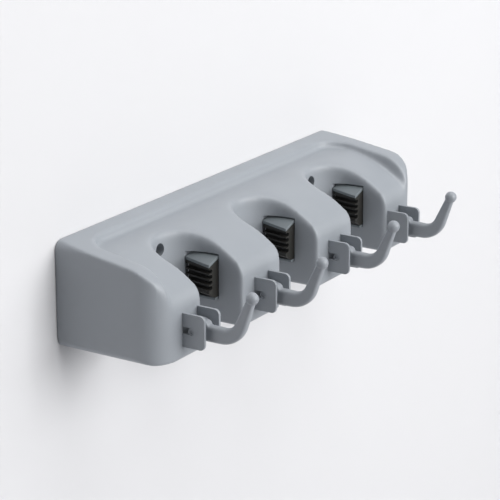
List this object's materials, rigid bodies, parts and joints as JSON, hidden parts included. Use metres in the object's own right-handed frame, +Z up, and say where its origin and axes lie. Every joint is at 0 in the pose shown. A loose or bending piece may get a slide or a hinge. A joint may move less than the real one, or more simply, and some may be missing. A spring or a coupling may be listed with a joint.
{
  "type": "wall mop holder rack",
  "caption": "Wall rack of moulded plastic that grips mop and broom handles between sprung rubber jaws in open slots, with fold-up hooks along its front.",
  "frame": {"origin": "on the wall, midway between the two wall screws", "axes": "+X along the wall, to the right seen from the front; +Y into the wall; +Z up"},
  "size_m": [0.28, 0.1081, 0.06],
  "materials": {
    "shell": "satin moulded ABS",
    "hook": "satin moulded ABS",
    "jaw_carrier": "satin moulded polypropylene",
    "jaw_pad": "matt moulded rubber",
    "pin": "drawn steel",
    "spring": "bright spring wire"
  },
  "bodies": {
    "rack": {"rack_shell": "shell", "jaw_1_left_pin": "pin", "jaw_1_left_spring": "spring", "jaw_1_right_pin": "pin", "jaw_1_right_spring": "spring", "jaw_2_left_pin": "pin", "jaw_2_left_spring": "spring", "jaw_2_right_pin": "pin", "jaw_2_right_spring": "spring", "jaw_3_left_pin": "pin", "jaw_3_left_spring": "spring", "jaw_3_right_pin": "pin", "jaw_3_right_spring": "spring"},
    "hook_1": {"hook_1": "hook"},
    "hook_2": {"hook_2": "hook"},
    "hook_3": {"hook_3": "hook"},
    "hook_4": {"hook_4": "hook"},
    "jaw_1_left": {"jaw_1_left_carrier": "jaw_carrier", "jaw_1_left_pad": "jaw_pad"},
    "jaw_1_right": {"jaw_1_right_carrier": "jaw_carrier", "jaw_1_right_pad": "jaw_pad"},
    "jaw_2_left": {"jaw_2_left_carrier": "jaw_carrier", "jaw_2_left_pad": "jaw_pad"},
    "jaw_2_right": {"jaw_2_right_carrier": "jaw_carrier", "jaw_2_right_pad": "jaw_pad"},
    "jaw_3_left": {"jaw_3_left_carrier": "jaw_carrier", "jaw_3_left_pad": "jaw_pad"},
    "jaw_3_right": {"jaw_3_right_carrier": "jaw_carrier", "jaw_3_right_pad": "jaw_pad"}
  },
  "joints": [
    {"name": "hook_1_fold", "type": "hinge", "parent": "rack", "child": "hook_1", "pos_m": [-0.1106, -0.0714, -0.0265], "axis": [-1, 0, 0], "range_deg": [0, 75]},
    {"name": "hook_2_fold", "type": "hinge", "parent": "rack", "child": "hook_2", "pos_m": [-0.04, -0.0714, -0.0265], "axis": [-1, 0, 0], "range_deg": [0, 75]},
    {"name": "hook_3_fold", "type": "hinge", "parent": "rack", "child": "hook_3", "pos_m": [0.04, -0.0714, -0.0265], "axis": [-1, 0, 0], "range_deg": [0, 75]},
    {"name": "hook_4_fold", "type": "hinge", "parent": "rack", "child": "hook_4", "pos_m": [0.1106, -0.0714, -0.0265], "axis": [-1, 0, 0], "range_deg": [0, 75]},
    {"name": "jaw_1_left_swing", "type": "hinge", "parent": "rack", "child": "jaw_1_left", "pos_m": [-0.1058, -0.041, -0.03], "axis": [0, -1, 0], "range_deg": [0, 20], "stiffness_Nm_per_rad": 0.08, "springref_deg": -34.38, "deforming": ["jaw_1_left_spring"]},
    {"name": "jaw_1_right_swing", "type": "hinge", "parent": "rack", "child": "jaw_1_right", "pos_m": [-0.0542, -0.041, -0.03], "axis": [0, 1, 0], "range_deg": [0, 20], "stiffness_Nm_per_rad": 0.08, "springref_deg": -34.38, "deforming": ["jaw_1_right_spring"]},
    {"name": "jaw_2_left_swing", "type": "hinge", "parent": "rack", "child": "jaw_2_left", "pos_m": [-0.0258, -0.041, -0.03], "axis": [0, -1, 0], "range_deg": [0, 20], "stiffness_Nm_per_rad": 0.08, "springref_deg": -34.38, "deforming": ["jaw_2_left_spring"]},
    {"name": "jaw_2_right_swing", "type": "hinge", "parent": "rack", "child": "jaw_2_right", "pos_m": [0.0258, -0.041, -0.03], "axis": [0, 1, 0], "range_deg": [0, 20], "stiffness_Nm_per_rad": 0.08, "springref_deg": -34.38, "deforming": ["jaw_2_right_spring"]},
    {"name": "jaw_3_left_swing", "type": "hinge", "parent": "rack", "child": "jaw_3_left", "pos_m": [0.0542, -0.041, -0.03], "axis": [0, -1, 0], "range_deg": [0, 20], "stiffness_Nm_per_rad": 0.08, "springref_deg": -34.38, "deforming": ["jaw_3_left_spring"]},
    {"name": "jaw_3_right_swing", "type": "hinge", "parent": "rack", "child": "jaw_3_right", "pos_m": [0.1058, -0.041, -0.03], "axis": [0, 1, 0], "range_deg": [0, 20], "stiffness_Nm_per_rad": 0.08, "springref_deg": -34.38, "deforming": ["jaw_3_right_spring"]}
  ]
}
